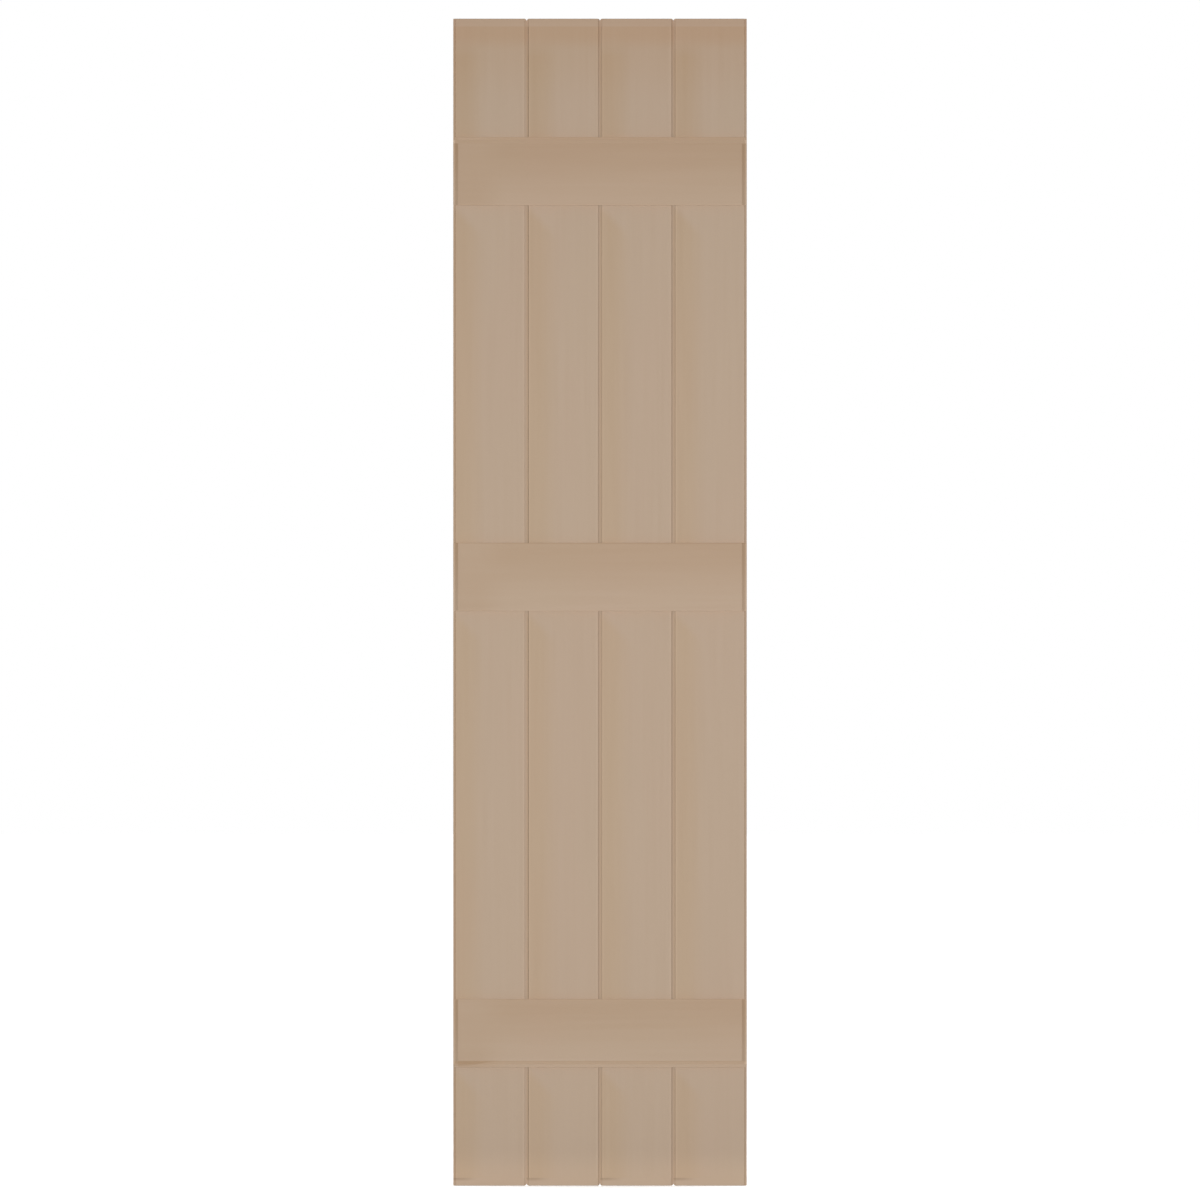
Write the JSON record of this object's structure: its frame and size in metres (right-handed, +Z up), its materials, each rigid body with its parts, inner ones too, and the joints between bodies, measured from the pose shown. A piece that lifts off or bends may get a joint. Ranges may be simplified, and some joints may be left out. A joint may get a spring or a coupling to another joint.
{
  "type": "board and batten shutter",
  "caption": "Tall board and batten window shutter of hollow tan vinyl boards joined edge to edge, with raised battens across the front and caps closing every end.",
  "frame": {"origin": "middle of the back face, at half the shutter's width and height, on the plane that lies against the wall", "axes": "+Z up along the boards, +Y from the front into the wall, +X to the right seen from the front"},
  "size_m": [0.375, 0.026, 1.491],
  "materials": {
    "board_vinyl": "satin",
    "batten_vinyl": "satin",
    "cap_vinyl": "satin"
  },
  "bodies": {
    "root": {"board_1": "board_vinyl", "board_2": "board_vinyl", "board_3": "board_vinyl", "board_4": "board_vinyl", "board_1_top_cap": "cap_vinyl", "board_2_top_cap": "cap_vinyl", "board_3_top_cap": "cap_vinyl", "board_4_top_cap": "cap_vinyl", "board_1_bottom_cap": "cap_vinyl", "board_2_bottom_cap": "cap_vinyl", "board_3_bottom_cap": "cap_vinyl", "board_4_bottom_cap": "cap_vinyl", "top_batten": "batten_vinyl", "middle_batten": "batten_vinyl", "bottom_batten": "batten_vinyl", "top_batten_left_cap": "cap_vinyl", "top_batten_right_cap": "cap_vinyl", "middle_batten_left_cap": "cap_vinyl", "middle_batten_right_cap": "cap_vinyl", "bottom_batten_left_cap": "cap_vinyl", "bottom_batten_right_cap": "cap_vinyl"}
  },
  "joints": []
}
